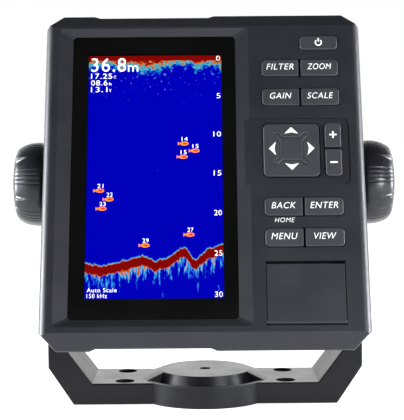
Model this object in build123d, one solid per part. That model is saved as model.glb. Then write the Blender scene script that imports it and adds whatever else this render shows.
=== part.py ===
from build123d import *
import os

"""Fish finder on a tilting bail bracket. Millimetres.

Row frame: origin on the underside of the bracket, at its centre; +Z up, +X to the
user's right, the display faces -Y. The head is drawn upright in its own frame, with
the tilt axis along X through the origin, and is then leaned back and lifted into
place. Inside the head frame a depth is measured backwards from the front face.
"""

# ---------------------------------------------------------------- driving dimensions
LEAN = 21.6                 # the head leans back by this many degrees at rest
AXIS_Z = 104.1              # tilt axis above the bracket's underside
AXIS_DEPTH = 28.0           # tilt axis behind the front face

# bail bracket
BAR_TOP = 10.1
BAR_HALF_DEPTH = 19.35
FOOT_HALF_WIDTH = 62.6      # flat underside
ARM_INNER, ARM_OUTER = 67.5, 74.5
ARM_HALF_DEPTH = 16.0       # at the tilt axis
OUTER_BEND_Z, INNER_BEND_Z = 17.8, 28.5
INNER_FLOOR_HALF = 53.6
HUB_R, HUB_WALL, DISC_R, DISC_TOP = 31.0, 2.7, 21.8, 13.6
HUB_FLOOR, CORE_BASE_R, SHOULDER_ANGLE = 3.0, 25.4, 25.0
CENTRE_HOLE_R = 2.75
FOOT_HOLE_X, FOOT_HOLE_Y = 38.5, 12.75
FOOT_HOLE_R, COUNTERBORE_R, COUNTERBORE_FLOOR = 2.4, 4.6, 5.0

# head: front flange
FACE_HALF = 75.0
FACE_LOW, FACE_HIGH = -79.7, 70.1
RIM_LOW, RIM_HIGH, RIM_DEPTH = -87.0, 77.4, 4.5
RIM_CORNER = 8.0            # corner chamfer of the outline
SIDE_ROUND = 4.0
FLANGE_BACK = 6.5
NOTCH = (-49.5, 2.7, 1.2, 2.6)   # left end, right end, height, run of the slanted ends

# display recess, from the face down to the window
SLOPE = (-68.6, 21.6, -77.1, 69.0)
WINDOW = (-62.0, 15.4, -73.5, 65.5)
SLOPE_DEPTH, WINDOW_T, GASKET_T, LEDGE = 2.0, 1.6, 0.4, 3.0
FRAME_BACK = 6.0
LCD = (-58.4, 11.8, -68.2, 59.0)
LCD_BACK, BACKLIGHT_BACK = 6.0, 11.0

# keys: columns and rows are outlines on the face
LEFT_COLUMN, RIGHT_COLUMN = (27.8, 45.2), (46.2, 64.0)
KEY_PROUD, KEY_GAP, KEY_TRAVEL = 0.9, 0.35, 0.8
KEY_WALL = 3.2
LIP_FRONT, LIP_BACK, LIP = 3.6, 4.4, 0.9
PLUNGER_R, PLUNGER_TIP = 1.5, 6.5
KEYS = {
    "key_power": (RIGHT_COLUMN, (57.1, 64.2)),
    "key_filter": (LEFT_COLUMN, (43.6, 52.0)),
    "key_zoom": (RIGHT_COLUMN, (43.6, 52.0)),
    "key_gain": (LEFT_COLUMN, (28.7, 37.2)),
    "key_scale": (RIGHT_COLUMN, (28.7, 37.2)),
    "key_back": (LEFT_COLUMN, (-25.7, -16.9)),
    "key_enter": (RIGHT_COLUMN, (-25.7, -16.9)),
    "key_menu": (LEFT_COLUMN, (-40.4, -31.7)),
    "key_view": (RIGHT_COLUMN, (-40.4, -31.7)),
}
PLUS_MINUS = (56.6, 64.1)
PLUS, MINUS = (7.6, 19.7), (-6.6, 6.6)

# direction pad in its sunken panel
PANEL = (17.5, 68.1, -10.5, 22.3)
PANEL_DEPTH = 0.8
PAD_CENTRE = (40.95, 6.55)
PAD_SIZE, PAD_PROUD, PAD_GAP = 26.3, 0.3, 0.5
PAD_LIP_R, PAD_LIP_FRONT, PAD_LIP_BACK = 15.0, 4.25, 4.85
PAD_PLUNGER_ARM, PAD_PLUNGER_TIP = 8.5, 6.9
PIVOT_R, PIVOT_FRONT, PIVOT_BACK = 4.8, 5.15, 6.75

# card door
DOOR = (28.1, 63.5, -76.4, -48.7)
DOOR_POCKET = (27.7, 63.9, -76.9, -47.0)
DOOR_T, POCKET_FLOOR = 2.2, 5.0
HINGE_R, HINGE_PIN_R = 1.5, 0.8
HINGE_V = DOOR[2] + HINGE_R
CARD_SLOT = (39.5, 52.5, -64.2, -62.6)

# electronics
MAT_FRONT, MAT_BACK = 5.9, 6.7
BOARD_T = 1.6
KEY_BOARD_FRONT, MAIN_BOARD_FRONT = 8.0, 24.0
SWITCH_R, SWITCH_T = 1.9, 0.5
KEY_BOARD = (25.5, 61.8, -43.0, 65.4)
MAIN_BOARD = (-48.0, 48.0, -60.0, 54.0)
CARRIER = (-60.0, 60.0, -44.0, 59.5)
CARRIER_FRONT, CARRIER_T = 11.2, 1.0
STANDOFFS = [(u, v) for u in (-42.0, 42.0) for v in (-38.0, 48.0)]

# rear housing
REAR_HALF, REAR_BACK_LOW, REAR_BACK_HIGH = 65.0, -62.0, 56.0
REAR_LOW, REAR_HIGH, REAR_FRONT, REAR_BACK = -81.0, 71.0, 8.0, 60.0
REAR_CORNER, REAR_ROUND, WALL = 8.0, 5.0, 2.6
LID_MARGIN = 4.0            # the rear flange stays this far inside the outline
SEAL = (6.5, 1.5, 1.1)      # distance inside the outline, width, height
POST_R, POST_BACK, SEAT = 3.4, 14.0, 20.0
POST_HIGH, POST_LOW = 62.6, -72.0
BEHIND_LEDGE, BEHIND_KEYS, BEHIND_POCKET = 5.0, 3.0, 6.0
POSTS = [                   # place, and the depth at which the post leaves the front wall
    (-50.0, POST_HIGH, BEHIND_LEDGE), (-9.0, POST_HIGH, BEHIND_LEDGE), (33.0, POST_HIGH, BEHIND_KEYS),
    (-50.0, POST_LOW, BEHIND_LEDGE), (3.0, POST_LOW, BEHIND_LEDGE), (54.0, POST_LOW, BEHIND_POCKET),
]
SCREW_R, SCREW_HEAD_R, SCREW_HEAD_T = 1.3, 2.9, 2.2
VENT = (0.0, -52.0)
REAR_PLATE = (-32.0, 32.0, -8.0, 26.0)
GROOVE_ROWS, GROOVE_HALF, GROOVE_WIDTH = (36.0, 41.0, 46.0), 40.0, 2.0

# rear sockets
SOCKETS = {"power": (-24.0, -34.0, 3), "transducer": (24.0, -34.0, 6)}
COLLAR_R, COLLAR_T, COLLAR_BACK, SHANK_R = 8.5, 1.6, 68.0, 7.8
SOCKET_FLANGE_R, SOCKET_FLANGE_T, SHANK_FRONT = 11.5, 1.5, 50.0
CONTACT_R, CONTACT_RING_R = 0.8, 3.6

# side knobs and their screws
BOSS_R, BOSS_FACE, INSERT_R, INSERT_INNER = 15.0, 66.0, 7.0, 51.0
STUD_R, STUD_TIP, THREAD_GAP = 4.0, 54.0, 0.08
KNOB_R, KNOB_INNER, KNOB_OUTER = 20.15, 76.0, 91.8
WASHER_R, WASHER_FACES = 9.0, (74.8, 75.7)
FLUTES, FLUTE_R, FLUTE_TURN, FLUTE_SLOPE = 6, 2.1, 17.0, 38.0
FACING = 90 + LEAN  # turns a shape drawn upwards to the reader; turns then grow downwards

HEAD = Pos(0, 0, AXIS_Z) * Rot(-LEAN, 0, 0)


# ---------------------------------------------------------------- helpers
def box_sketch(left, right, low, high):
    """Rectangle on the face between two columns and two heights."""
    return Pos((left + right) / 2, (low + high) / 2) * Rectangle(right - left, high - low)


def rounded(left, right, low, high, radius):
    """The same with rounded corners."""
    return Pos((left + right) / 2, (low + high) / 2) * RectangleRounded(right - left, high - low, radius)


def grown(outline, by):
    left, right, low, high = outline
    return (left - by, right + by, low - by, high + by)


def slab(sketch, front, back):
    """A face sketch made solid between two depths behind the front face."""
    return extrude(Plane.XZ.offset(AXIS_DEPTH - back) * sketch, amount=back - front)


def rod(u, v, radius, front, back):
    """Round rod that runs front to back."""
    return slab(Pos(u, v) * Circle(radius), front, back)


def tube(u, v, outer, inner, front, back):
    return slab(Pos(u, v) * (Circle(outer) - Circle(inner)), front, back)


def cross_rod(radius, start, end):
    """Round rod along the tilt axis."""
    return Pos((start + end) / 2, 0, 0) * Rot(0, 90, 0) * Cylinder(radius, end - start)


def cross_tube(outer, inner, start, end):
    return cross_rod(outer, start, end) - cross_rod(inner, start, end)


def cut_corners(half, low, high, corner):
    """Rectangle outline with its four corners cut off."""
    points = [
        (-half, low + corner), (-half + corner, low), (half - corner, low), (half, low + corner),
        (half, high - corner), (half - corner, high), (-half + corner, high), (-half, high - corner),
    ]
    return make_face(Polyline(*points, close=True))


def outline(inset=0.0):
    """Outline of the front flange, or a smaller copy inside it."""
    return cut_corners(FACE_HALF - inset, RIM_LOW + inset, RIM_HIGH - inset, RIM_CORNER - 0.6 * inset)


def clipped_rectangle(edges, corner):
    """Eight-cornered opening, used at both ends of the display recess."""
    left, right, low, high = edges
    sketch = cut_corners((right - left) / 2, -(high - low) / 2, (high - low) / 2, corner)
    return Pos((left + right) / 2, (low + high) / 2) * sketch


def mirrored(shape):
    """The same piece on the left-hand side."""
    return mirror(shape, about=Plane.YZ)


# ---------------------------------------------------------------- bail bracket
def bracket_profile():
    half = [
        (FOOT_HALF_WIDTH, 0), (ARM_OUTER, OUTER_BEND_Z), (ARM_OUTER, AXIS_Z + ARM_HALF_DEPTH),
        (ARM_INNER, AXIS_Z + ARM_HALF_DEPTH), (ARM_INNER, INNER_BEND_Z), (INNER_FLOOR_HALF, BAR_TOP),
    ]
    other = [(-x, z) for x, z in reversed(half)]
    return make_face(Polyline(*half, *other, close=True))


def bracket_side():
    """Side view of the arms: full depth at the bar, narrower at the rounded top."""
    points = [
        (-BAR_HALF_DEPTH, 0), (BAR_HALF_DEPTH, 0), (BAR_HALF_DEPTH, INNER_BEND_Z),
        (ARM_HALF_DEPTH, AXIS_Z), (-ARM_HALF_DEPTH, AXIS_Z), (-BAR_HALF_DEPTH, INNER_BEND_Z),
    ]
    return make_face(Polyline(*points, close=True)) + Pos(0, AXIS_Z) * Circle(ARM_HALF_DEPTH)


def hub():
    """Round hub: a flat disc on a steep core, sloped shoulders left and right."""
    up = (Align.CENTER, Align.CENTER, Align.MIN)
    body = Cylinder(HUB_R, BAR_TOP, align=up)
    body += Pos(0, 0, BAR_TOP) * Cone(HUB_R, DISC_R, DISC_TOP - BAR_TOP, align=up)
    well_height = DISC_TOP - HUB_FLOOR
    well = Pos(0, 0, HUB_FLOOR) * Cylinder(HUB_R - HUB_WALL, well_height, align=up)
    well -= Pos(0, 0, HUB_FLOOR) * Cone(CORE_BASE_R, DISC_R, well_height, align=up)
    lip = Pos(0, 0, BAR_TOP) * (Cylinder(HUB_R + 1, well_height, align=up))
    lip -= Pos(0, 0, BAR_TOP) * Cylinder(HUB_R - HUB_WALL, well_height, align=up)
    shoulder = Pos(0, 0, HUB_FLOOR) * Cylinder(
        HUB_R + 2, well_height, arc_size=2 * SHOULDER_ANGLE, rotation=(0, 0, -SHOULDER_ANGLE), align=Align.NONE
    )
    shoulders = shoulder + Rot(0, 0, 180) * shoulder
    return body - ((well + lip) - shoulders)


def bail_bracket():
    body = extrude(Plane.XZ * bracket_profile(), amount=BAR_HALF_DEPTH, both=True)
    body &= extrude(Plane.YZ * bracket_side(), amount=ARM_OUTER + 1, both=True)
    body = fillet(body.edges(), 0.7)
    body -= Pos(0, 0, DISC_TOP / 2) * Cylinder(HUB_R - 1, DISC_TOP)
    body += hub()
    body -= Pos(0, 0, DISC_TOP / 2) * Cylinder(CENTRE_HOLE_R, 2 * DISC_TOP)
    for x in (-FOOT_HOLE_X, FOOT_HOLE_X):
        for y in (-FOOT_HOLE_Y, FOOT_HOLE_Y):
            body -= Pos(x, y, BAR_TOP / 2) * Cylinder(FOOT_HOLE_R, 2 * BAR_TOP)
            body -= Pos(x, y, COUNTERBORE_FLOOR + BAR_TOP / 2) * Cylinder(COUNTERBORE_R, BAR_TOP)
    axis_hole = cross_rod(STUD_R + 0.5, -ARM_OUTER - 1, ARM_OUTER + 1)
    return body - Pos(0, 0, AXIS_Z) * axis_hole


# ---------------------------------------------------------------- front housing
def flange_form():
    """Outer form: rounded sides, cut corners, bevels at the top and the bottom."""
    front, back = -AXIS_DEPTH, FLANGE_BACK - AXIS_DEPTH
    plan = make_face(Polyline(
        (-FACE_HALF, front), (FACE_HALF, front), (FACE_HALF, back), (-FACE_HALF, back), close=True
    ))
    plan = fillet(plan.vertices().group_by(Axis.Y)[0], SIDE_ROUND)
    form = Pos(0, 0, RIM_LOW) * extrude(plan, amount=RIM_HIGH - RIM_LOW)
    form &= slab(outline(), -1, FLANGE_BACK + 1)
    for face_edge, rim_edge in ((FACE_LOW, RIM_LOW), (FACE_HIGH, RIM_HIGH)):
        run = 3 * (rim_edge - face_edge)
        points = [(front, face_edge), (front - 9, face_edge), (front - 9, face_edge + run),
                  (front + 3 * RIM_DEPTH, face_edge + run)]
        wedge = make_face(Polyline(*points, close=True))
        form -= extrude(Plane.YZ * wedge, amount=FACE_HALF + 1, both=True)
    return form - outline_notches()


def outline_notches():
    """Shallow notches in the upper and the lower edge of the outline."""
    left, right, height, run = NOTCH
    notches = []
    for edge, way in ((RIM_HIGH, 1), (RIM_LOW, -1)):
        points = [(left - run, edge + way), (left - run, edge), (left, edge - way * height),
                  (right, edge - way * height), (right + run, edge), (right + run, edge + way)]
        notches.append(slab(make_face(Polyline(*points, close=True)), -1, FLANGE_BACK + 1))
    return notches


def display_opening():
    """Sloped recess, pocket for the window, and the opening through the ledge."""
    front_edge = Plane.XZ.offset(AXIS_DEPTH) * clipped_rectangle(SLOPE, 1.2)
    window_edge = Plane.XZ.offset(AXIS_DEPTH - SLOPE_DEPTH) * clipped_rectangle(WINDOW, 1.2)
    recess = loft([front_edge.faces()[0], window_edge.faces()[0]], ruled=True)
    pocket_back = SLOPE_DEPTH + WINDOW_T + GASKET_T
    pocket = slab(clipped_rectangle(WINDOW, 1.2), SLOPE_DEPTH, pocket_back)
    through = slab(box_sketch(*grown(WINDOW, -LEDGE)), pocket_back, FLANGE_BACK + 1)
    behind = slab(box_sketch(*grown(WINDOW, 2.0)), FRAME_BACK, FLANGE_BACK + 1)
    return recess + pocket + through + behind


def key_holes():
    """One hole for each pair of keys that share an outline, and one for the pad."""
    holes = []
    rows = sorted({rows for _, rows in KEYS.values()})
    for low, high in rows:
        columns = [column for column, row in KEYS.values() if row == (low, high)]
        left, right = min(c[0] for c in columns), max(c[1] for c in columns)
        holes.append(slab(rounded(*grown((left, right, low, high), KEY_GAP), 2.2), -1, KEY_WALL + 1))
    beside = (*PLUS_MINUS, MINUS[0], PLUS[1])
    holes.append(slab(rounded(*grown(beside, KEY_GAP), 2.2), -1, KEY_WALL + 1))
    pad = Pos(*PAD_CENTRE) * RectangleRounded(PAD_SIZE + 2 * PAD_GAP, PAD_SIZE + 2 * PAD_GAP, 3.0)
    holes.append(slab(pad, -1, KEY_WALL + 1))
    return holes


def front_housing():
    body = flange_form()
    body -= slab(box_sketch(24.0, 65.6, -45.5, 67.0), KEY_WALL, FLANGE_BACK + 1)
    body -= display_opening()
    body -= slab(rounded(*PANEL, 3.0), -1, PANEL_DEPTH)
    body -= key_holes()
    body -= slab(box_sketch(*DOOR_POCKET), -1, POCKET_FLOOR)
    body -= slab(box_sketch(*CARD_SLOT), 0, FLANGE_BACK + 1)
    inset, width, height = SEAL
    body -= slab(outline(inset) - outline(inset + width), FLANGE_BACK - height, FLANGE_BACK + 1)
    for u, v, root in POSTS:
        body += rod(u, v, POST_R, root, POST_BACK)
        body -= rod(u, v, SCREW_R, 7.5, POST_BACK + 1)
    pin_length = DOOR_POCKET[1] - DOOR_POCKET[0] + 3
    body -= hinge_rod(HINGE_PIN_R, pin_length)
    return body


def hinge_rod(radius, length):
    """Rod along the door's hinge line."""
    centre = (DOOR_POCKET[0] + DOOR_POCKET[1]) / 2
    return Pos(centre, HINGE_R - AXIS_DEPTH, HINGE_V) * Rot(0, 90, 0) * Cylinder(radius, length)


# ---------------------------------------------------------------- display
def display_window():
    return slab(clipped_rectangle(grown(WINDOW, -0.1), 1.1), SLOPE_DEPTH, SLOPE_DEPTH + WINDOW_T)


def window_gasket():
    front = SLOPE_DEPTH + WINDOW_T
    ring = clipped_rectangle(grown(WINDOW, -0.4), 1.1) - box_sketch(*grown(WINDOW, -LEDGE + 0.2))
    return slab(ring, front, front + GASKET_T)


def lcd_panel():
    return slab(box_sketch(*LCD), SLOPE_DEPTH + WINDOW_T + GASKET_T, LCD_BACK)


def backlight():
    body = slab(box_sketch(*grown(LCD, -0.4)), LCD_BACK, BACKLIGHT_BACK)
    return body - slab(box_sketch(*grown(LCD, -4)), BACKLIGHT_BACK - 1.0, BACKLIGHT_BACK + 1)


def display_carrier():
    """Sheet metal plate behind the display, with standoffs for the main board."""
    back = CARRIER_FRONT + CARRIER_T
    body = slab(box_sketch(*CARRIER), CARRIER_FRONT, back)
    body -= post_clearance(CARRIER_FRONT, back)
    for u, v in STANDOFFS:
        body += rod(u, v, 3.0, back, MAIN_BOARD_FRONT)
        body -= rod(u, v, SCREW_R, back + 2, MAIN_BOARD_FRONT + 1)
    return body


# ---------------------------------------------------------------- keys
def key_cap(left, right, low, high, lips=(1, 1), outer="both"):
    """Cap with a soft front edge, a retaining lip and a plunger behind it."""
    face = box_sketch(left, right, low, high)
    soft, tight = 2.0, 0.6
    columns = face.vertices().group_by(Axis.X)
    rows = face.vertices().group_by(Axis.Y)
    corners = {"both": (columns[0] + columns[-1], []), "left": (columns[0], columns[-1]),
               "right": (columns[-1], columns[0]), "top": (rows[-1], rows[0]), "bottom": (rows[0], rows[-1])}
    large, small = corners[outer]
    face = fillet(large, soft)
    if small:
        places = [tuple(v) for v in small]
        face = fillet([v for v in face.vertices() if tuple(v) in places], tight)
    cap = slab(face, -KEY_PROUD, LIP_BACK)
    cap = fillet(cap.faces().sort_by(Axis.Y)[0].edges(), 0.55)
    lip = box_sketch(left + 1.5, right - 1.5, low - LIP * lips[0], high + LIP * lips[1])
    cap += slab(lip, LIP_FRONT, LIP_BACK)
    return cap + rod((left + right) / 2, (low + high) / 2, PLUNGER_R, LIP_BACK, PLUNGER_TIP)


def key_caps():
    caps = {}
    for name, (column, row) in KEYS.items():
        outer = "both" if name == "key_power" else "left" if column == LEFT_COLUMN else "right"
        caps[name] = key_cap(*column, *row, outer=outer)
    caps["key_plus"] = key_cap(*PLUS_MINUS, *PLUS, lips=(0, 1), outer="top")
    caps["key_minus"] = key_cap(*PLUS_MINUS, *MINUS, lips=(1, 0), outer="bottom")
    return caps


def pad_plunger_places():
    u, v = PAD_CENTRE
    arm = PAD_PLUNGER_ARM
    return [(u + arm, v), (u - arm, v), (u, v + arm), (u, v - arm)]


def direction_pad():
    """Square rocker with a shallow square groove in its face."""
    place = Pos(*PAD_CENTRE)
    body = slab(place * RectangleRounded(PAD_SIZE, PAD_SIZE, 2.6), -PAD_PROUD, PAD_LIP_FRONT)
    body = fillet(body.faces().sort_by(Axis.Y)[0].edges(), 0.7)
    groove = place * (RectangleRounded(11.9, 12.2, 1.4) - RectangleRounded(11.1, 11.4, 1.0))
    body -= slab(groove, -1, 0.1)
    body += rod(*PAD_CENTRE, PAD_LIP_R, PAD_LIP_FRONT, PAD_LIP_BACK)
    for u, v in pad_plunger_places():
        body += rod(u, v, PLUNGER_R, PAD_LIP_BACK, PAD_PLUNGER_TIP)
    return body


def direction_pivot():
    """Round rocker plate that the pad turns on."""
    return rod(*PAD_CENTRE, PIVOT_R, PIVOT_FRONT, PIVOT_BACK)


def plunger_places():
    outlines = [(*column, *row) for column, row in KEYS.values()]
    outlines += [(*PLUS_MINUS, *PLUS), (*PLUS_MINUS, *MINUS)]
    return [((left + right) / 2, (low + high) / 2) for left, right, low, high in outlines]


def keypad_mat():
    body = slab(rounded(*KEY_BOARD, 2), MAT_FRONT, MAT_BACK)
    for u, v in plunger_places() + pad_plunger_places():
        body -= rod(u, v, PLUNGER_R + 0.6, MAT_FRONT - 1, MAT_BACK + 1)
    body -= rod(*PAD_CENTRE, PIVOT_R + 0.7, MAT_FRONT - 1, MAT_BACK + 1)
    return (body - post_clearance(MAT_FRONT, MAT_BACK)) & rear_form(WALL + 0.3, front=MAT_FRONT - 1)


def keypad_board():
    back = KEY_BOARD_FRONT + BOARD_T
    body = slab(rounded(*KEY_BOARD, 2), KEY_BOARD_FRONT, back) - post_clearance(KEY_BOARD_FRONT, back)
    return body & rear_form(WALL + 0.3, front=MAT_FRONT - 1)


def post_clearance(front, back):
    return [rod(u, v, POST_R + 0.4, front - 1, back + 1) for u, v, _ in POSTS]


def key_switches():
    front = KEY_BOARD_FRONT - SWITCH_T
    return [rod(u, v, SWITCH_R, front, KEY_BOARD_FRONT) for u, v in plunger_places() + pad_plunger_places()]


# ---------------------------------------------------------------- card door
def card_door():
    body = slab(box_sketch(DOOR[0], DOOR[1], HINGE_V, DOOR[3]), 0, DOOR_T)
    body = fillet(body.edges().filter_by(Axis.X).sort_by(Axis.Y)[:1], 0.3)
    width = DOOR[1] - DOOR[0]
    body += hinge_rod(HINGE_R, width)
    return body - hinge_rod(HINGE_PIN_R + 0.06, width + 2)


def door_seal():
    ring = rounded(*grown(DOOR, -3.0), 2.0) - rounded(*grown(DOOR, -4.4), 0.8)
    return slab(ring, DOOR_T, DOOR_T + 0.8)


def card_socket():
    left, right, low, high = CARD_SLOT
    body = slab(box_sketch(left - 1.5, right + 1.5, low - 0.8, high + 0.8), FLANGE_BACK, 22.0)
    return body - slab(box_sketch(left + 0.6, right - 0.6, low + 0.2, high - 0.2), FLANGE_BACK - 1, 20.5)


# ---------------------------------------------------------------- electronics
def main_board():
    body = slab(rounded(*MAIN_BOARD, 2), MAIN_BOARD_FRONT, MAIN_BOARD_FRONT + BOARD_T)
    for u, v in STANDOFFS:
        body -= rod(u, v, SCREW_R + 0.2, MAIN_BOARD_FRONT - 1, MAIN_BOARD_FRONT + 3)
    return body


def screw(u, v, tip, seat):
    """Pan head screw with a cross recess; its head lies behind the seat."""
    head = rod(u, v, SCREW_HEAD_R, seat, seat + SCREW_HEAD_T)
    head = fillet(head.edges().sort_by(Axis.Y)[-1], 0.8)
    slot = Pos(u, v) * (Rectangle(3.0, 0.7) + Rectangle(0.7, 3.0))
    head -= slab(slot, seat + SCREW_HEAD_T - 1.1, seat + SCREW_HEAD_T + 1)
    return head + rod(u, v, SCREW_R, tip, seat)


def on_board(left, right, low, high, height):
    """A component that stands on the rear side of the main board."""
    front = MAIN_BOARD_FRONT + BOARD_T
    return slab(box_sketch(left, right, low, high), front, front + height)


def transformer():
    body = on_board(-36.0, -12.0, 14.0, 36.0, 16.0)
    coil = rod(-24.0, 25.0, 9.0, MAIN_BOARD_FRONT + BOARD_T + 16.0, MAIN_BOARD_FRONT + BOARD_T + 19.0)
    return chamfer(body.edges().filter_by(Axis.Y), 2.0) + coil


def capacitors():
    front = MAIN_BOARD_FRONT + BOARD_T
    return [rod(u, 36.0, 5.0, front, front + 18.0) for u in (2.0, 14.0, 26.0)]


def shield_can():
    left, right, low, high = -10.0, 32.0, -22.0, 18.0
    body = on_board(left, right, low, high, 6.0)
    return fillet(body.edges().sort_by(Axis.Y)[-4:], 0.8)


def beeper():
    front = MAIN_BOARD_FRONT + BOARD_T
    return rod(-30.0, -4.0, 6.0, front, front + 6.0) - rod(-30.0, -4.0, 1.2, front + 4.0, front + 7.0)


# ---------------------------------------------------------------- rear housing
def rear_form(inset=0.0, front=REAR_FRONT):
    """Tapered form of the rear housing, or a smaller copy for its inside."""
    to_y = -AXIS_DEPTH
    lean_low = (REAR_BACK_LOW - REAR_LOW) / (REAR_BACK - REAR_FRONT)
    lean_high = (REAR_BACK_HIGH - REAR_HIGH) / (REAR_BACK - REAR_FRONT)
    back = REAR_BACK - inset
    run_front, run_back = front - REAR_FRONT, back - REAR_FRONT
    points = [
        (front + to_y, REAR_LOW + inset + lean_low * run_front),
        (back + to_y, REAR_LOW + inset + lean_low * run_back),
        (back + to_y, REAR_HIGH - inset + lean_high * run_back),
        (front + to_y, REAR_HIGH - inset + lean_high * run_front),
    ]
    side = make_face(Polyline(*points, close=True))
    form = extrude(Plane.YZ * side, amount=REAR_HALF - inset, both=True)
    long_edges = [e for e in form.edges().filter_by(Axis.X, reverse=True).filter_by(Axis.Z, reverse=True)]
    form = chamfer(long_edges, REAR_CORNER - 0.6 * inset)
    return fillet(form.faces().sort_by(Axis.Y)[-1].edges(), REAR_ROUND - inset + 0.6)


def rear_housing():
    outer = rear_form()
    body = outer + slab(outline(LID_MARGIN), FLANGE_BACK, REAR_FRONT)
    body -= rear_form(WALL, front=FLANGE_BACK - 1)
    for u, v, _ in POSTS:
        body += rod(u, v, POST_R + 2.0, POST_BACK + 0.2, REAR_BACK) & outer
        body -= rod(u, v, SCREW_R + 0.4, POST_BACK - 1, REAR_BACK)
        body -= rod(u, v, SCREW_HEAD_R + 0.5, SEAT, REAR_BACK + 1)
    boss = cross_rod(BOSS_R, INSERT_INNER - 1, BOSS_FACE)
    bore = cross_rod(INSERT_R, INSERT_INNER, BOSS_FACE + 1)
    body += [boss, mirrored(boss)]
    body -= [bore, mirrored(bore)]
    for u, v, _ in SOCKETS.values():
        body -= rod(u, v, SHANK_R + 0.1, REAR_BACK - WALL - 1, REAR_BACK + 1)
    body -= rod(*VENT, 3.0, REAR_BACK - WALL - 1, REAR_BACK + 1)
    body -= slab(rounded(*REAR_PLATE, 1.5), REAR_BACK - 0.6, REAR_BACK + 1)
    for v in GROOVE_ROWS:
        groove = rounded(-GROOVE_HALF, GROOVE_HALF, v, v + GROOVE_WIDTH, 0.9)
        body -= slab(groove, REAR_BACK - 1.0, REAR_BACK + 1)
    return body


def housing_seal():
    inset, width, height = SEAL
    return slab(outline(inset) - outline(inset + width), FLANGE_BACK - height, FLANGE_BACK)


def vent_plug():
    cap = rod(*VENT, 4.5, REAR_BACK, REAR_BACK + 1.2)
    return fillet(cap.edges().sort_by(Axis.Y)[-1], 0.5) + rod(*VENT, 3.0, REAR_BACK - WALL, REAR_BACK)


def rear_plate():
    return slab(rounded(*grown(REAR_PLATE, -0.3), 1.2), REAR_BACK - 0.6, REAR_BACK - 0.1)


# ---------------------------------------------------------------- rear sockets
def socket_shell(u, v):
    """Panel socket: flange, keyed collar outside, threaded shank through the wall."""
    flange = rod(u, v, SOCKET_FLANGE_R, REAR_BACK + 0.4, REAR_BACK + 0.4 + SOCKET_FLANGE_T)
    flange = chamfer(flange.edges().sort_by(Axis.Y)[-1], 0.5)
    collar = rod(u, v, COLLAR_R, REAR_BACK + 0.4, COLLAR_BACK)
    collar = chamfer(collar.edges().sort_by(Axis.Y)[-1], 0.4)
    body = flange + collar + rod(u, v, SHANK_R, SHANK_FRONT, REAR_BACK + 0.4)
    return body - rod(u, v, COLLAR_R - COLLAR_T, SHANK_FRONT - 1, COLLAR_BACK + 1)


def contact_places(u, v, count):
    ring = Pos(u, v) * PolarLocations(CONTACT_RING_R, count)
    return [(place.position.X, place.position.Y) for place in ring]


def socket_core(u, v, count):
    body = rod(u, v, COLLAR_R - COLLAR_T, SHANK_FRONT, COLLAR_BACK - 1.0)
    for x, y in contact_places(u, v, count):
        body -= rod(x, y, CONTACT_R + 0.3, SHANK_FRONT - 1, COLLAR_BACK)
    return body


def socket_contacts():
    contacts = []
    for u, v, count in SOCKETS.values():
        for x, y in contact_places(u, v, count):
            contacts.append(tube(x, y, CONTACT_R + 0.3, CONTACT_R - 0.2, SHANK_FRONT - 2, COLLAR_BACK - 1.6))
    return contacts


def socket_nuts():
    nuts = []
    for u, v, _ in SOCKETS.values():
        hexagon = Pos(u, v) * (RegularPolygon(10.5, 6) - Circle(SHANK_R))
        nuts.append(slab(hexagon, REAR_BACK - WALL - 3.5, REAR_BACK - WALL))
    return nuts


def socket_seals():
    return [tube(u, v, 10.0, SHANK_R, REAR_BACK, REAR_BACK + 0.4) for u, v, _ in SOCKETS.values()]


# ---------------------------------------------------------------- side knobs
def pivot_insert():
    body = cross_rod(INSERT_R, INSERT_INNER, BOSS_FACE)
    return body - cross_rod(STUD_R + THREAD_GAP, STUD_TIP - 1.5, BOSS_FACE + 1)


def friction_pad():
    return cross_tube(BOSS_R - 1.5, INSERT_R + 1.0, BOSS_FACE, BOSS_FACE + 1.2)


def washer():
    return cross_tube(WASHER_R, STUD_R + 0.3, *WASHER_FACES)


def stud():
    """Screw moulded into the knob; its thread is drawn as a plain cylinder."""
    body = cross_rod(STUD_R, STUD_TIP, KNOB_INNER + 7)
    return chamfer(body.edges().sort_by(Axis.X)[0], 0.8)


def knob():
    """Domed grip with pointed flutes that deepen towards its outer end."""
    shoulder, corner, crown = (KNOB_INNER + 4.5, KNOB_R), (KNOB_OUTER - 2.2, KNOB_R - 3.95), (KNOB_OUTER, 2.0)
    profile = make_face(
        Polyline(crown, (KNOB_OUTER, 0), (KNOB_INNER, 0), (KNOB_INNER, KNOB_R - 1.0), (KNOB_INNER + 1.2, KNOB_R),
                 shoulder)
        + Spline(shoulder, (KNOB_OUTER - 5.0, KNOB_R - 1.6), corner, tangents=[(1, 0), (0.6, -0.8)])
        + Spline(corner, (KNOB_OUTER - 0.6, KNOB_R * 0.41), crown, tangents=[(0.3, -1), (0, -1)])
    )
    body = revolve(Plane.XZ * profile, Axis.X)
    flute = Pos(KNOB_INNER + 9, 0, KNOB_R + FLUTE_R - 1.2) * Rot(0, FLUTE_SLOPE, 0) * cross_rod(FLUTE_R, -8, 12)
    for place in range(FLUTES):
        body -= Rot(FACING + FLUTE_TURN + 360 * place / FLUTES, 0, 0) * flute
    return body - cross_rod(STUD_R, KNOB_INNER - 1, KNOB_INNER + 7)


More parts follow.
